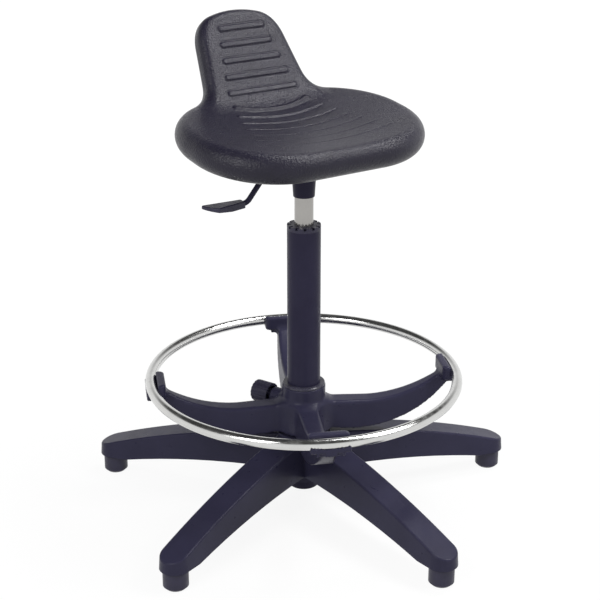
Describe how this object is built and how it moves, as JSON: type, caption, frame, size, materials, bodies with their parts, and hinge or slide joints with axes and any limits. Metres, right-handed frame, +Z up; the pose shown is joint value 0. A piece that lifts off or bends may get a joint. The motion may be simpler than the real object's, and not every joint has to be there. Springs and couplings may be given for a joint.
{
  "type": "technician stool",
  "caption": "Height-adjustable work stool with a one-piece moulded seat and low back, gas-lift column, chrome foot ring on a sliding clamp, and a star base on glides.",
  "frame": {"origin": "on the floor under the column, in the middle of the circle of glides", "axes": "+Z up along the column; the seat faces -Y and the height lever is on -X, the sitter's right"},
  "size_m": [0.6493, 0.6329, 0.7324],
  "materials": {
    "seat_skin": "satin",
    "black_nylon": "matte",
    "black_plastic": "satin",
    "sleeve_plastic": "satin",
    "black_paint": "satin",
    "chrome_plate": "polished",
    "ground_chrome": "satin",
    "plain_steel": "satin",
    "valve_alloy": "satin",
    "insert_brass": "satin",
    "seal_rubber": "matte",
    "plywood": "matte"
  },
  "bodies": {
    "base": {"star_base": "black_nylon", "glide_1": "black_plastic", "glide_2": "black_plastic", "glide_3": "black_plastic", "glide_4": "black_plastic", "glide_5": "black_plastic", "glide_stems": "plain_steel", "stem_grip_rings": "plain_steel", "column_tube": "black_paint", "guide_bush": "black_plastic", "lower_race": "plain_steel"},
    "bearing": {"bearing_cage": "sleeve_plastic", "bearing_balls": "plain_steel"},
    "piston_group": {"piston_rod": "ground_chrome", "retaining_clip": "plain_steel", "upper_race": "plain_steel", "bump_stop": "seal_rubber", "piston": "sleeve_plastic", "piston_seal": "seal_rubber"},
    "seat": {"gas_cylinder": "ground_chrome", "rod_guide": "sleeve_plastic", "rod_seal": "seal_rubber", "valve_body": "valve_alloy", "taper_socket": "black_paint", "seat_plate": "black_paint", "lever_bracket": "black_paint", "pivot_pin": "plain_steel", "pivot_clips": "plain_steel", "seat_board": "plywood", "tee_nuts": "plain_steel", "seat_washers": "plain_steel", "seat_bolts": "plain_steel", "seat_pad": "seat_skin"},
    "lever": {"lever_rod": "black_paint", "lever_paddle": "black_plastic"},
    "valve_pin": {"release_pin": "plain_steel"},
    "ring_sleeve": {"ring_bush": "sleeve_plastic"},
    "footring": {"footring_spider": "black_nylon", "footring_tube": "chrome_plate", "ring_screws": "plain_steel", "knob_insert": "insert_brass"},
    "clamp": {"clamp_pad": "sleeve_plastic"},
    "clamp_knob": {"knob": "black_plastic", "knob_screw": "plain_steel"}
  },
  "joints": [
    {"name": "seat_swivel", "type": "hinge", "parent": "base", "child": "piston_group", "pos_m": [0, 0, 0], "axis": [0, 0, 1], "continuous": true},
    {"name": "cage_turn", "type": "hinge", "parent": "base", "child": "bearing", "pos_m": [0, 0, 0], "axis": [0, 0, 1], "continuous": true},
    {"name": "seat_lift", "type": "slide", "parent": "piston_group", "child": "seat", "axis": [0, 0, 1], "range_m": [0, 0.24]},
    {"name": "lever_lift", "type": "hinge", "parent": "seat", "child": "lever", "pos_m": [-0.032, 0, 0.54], "axis": [0, 1, 0], "range_deg": [0, 5.3], "stiffness_Nm_per_rad": 15},
    {"name": "pin_press", "type": "slide", "parent": "seat", "child": "valve_pin", "axis": [0, 0, 1], "range_m": [-0.003, 0]},
    {"name": "ring_height", "type": "slide", "parent": "base", "child": "ring_sleeve", "axis": [0, 0, 1], "range_m": [0, 0.2]},
    {"name": "ring_turn", "type": "hinge", "parent": "ring_sleeve", "child": "footring", "pos_m": [0, 0, 0], "axis": [0, 0, 1], "continuous": true},
    {"name": "clamp_press", "type": "slide", "parent": "footring", "child": "clamp", "axis": [-0.3827, 0.9239, 0], "range_m": [0, 0.0025]},
    {"name": "knob_turn", "type": "hinge", "parent": "clamp", "child": "clamp_knob", "pos_m": [0, 0, 0.16], "axis": [-0.3827, 0.9239, 0], "range_deg": [0, 720]}
  ],
  "couplings": [
    {"joint": "cage_turn", "follows": "seat_swivel", "ratio": 0.5},
    {"joint": "pin_press", "follows": "lever_lift", "m_per_rad": -0.032},
    {"joint": "clamp_press", "follows": "knob_turn", "m_per_rad": 0.00019894}
  ]
}
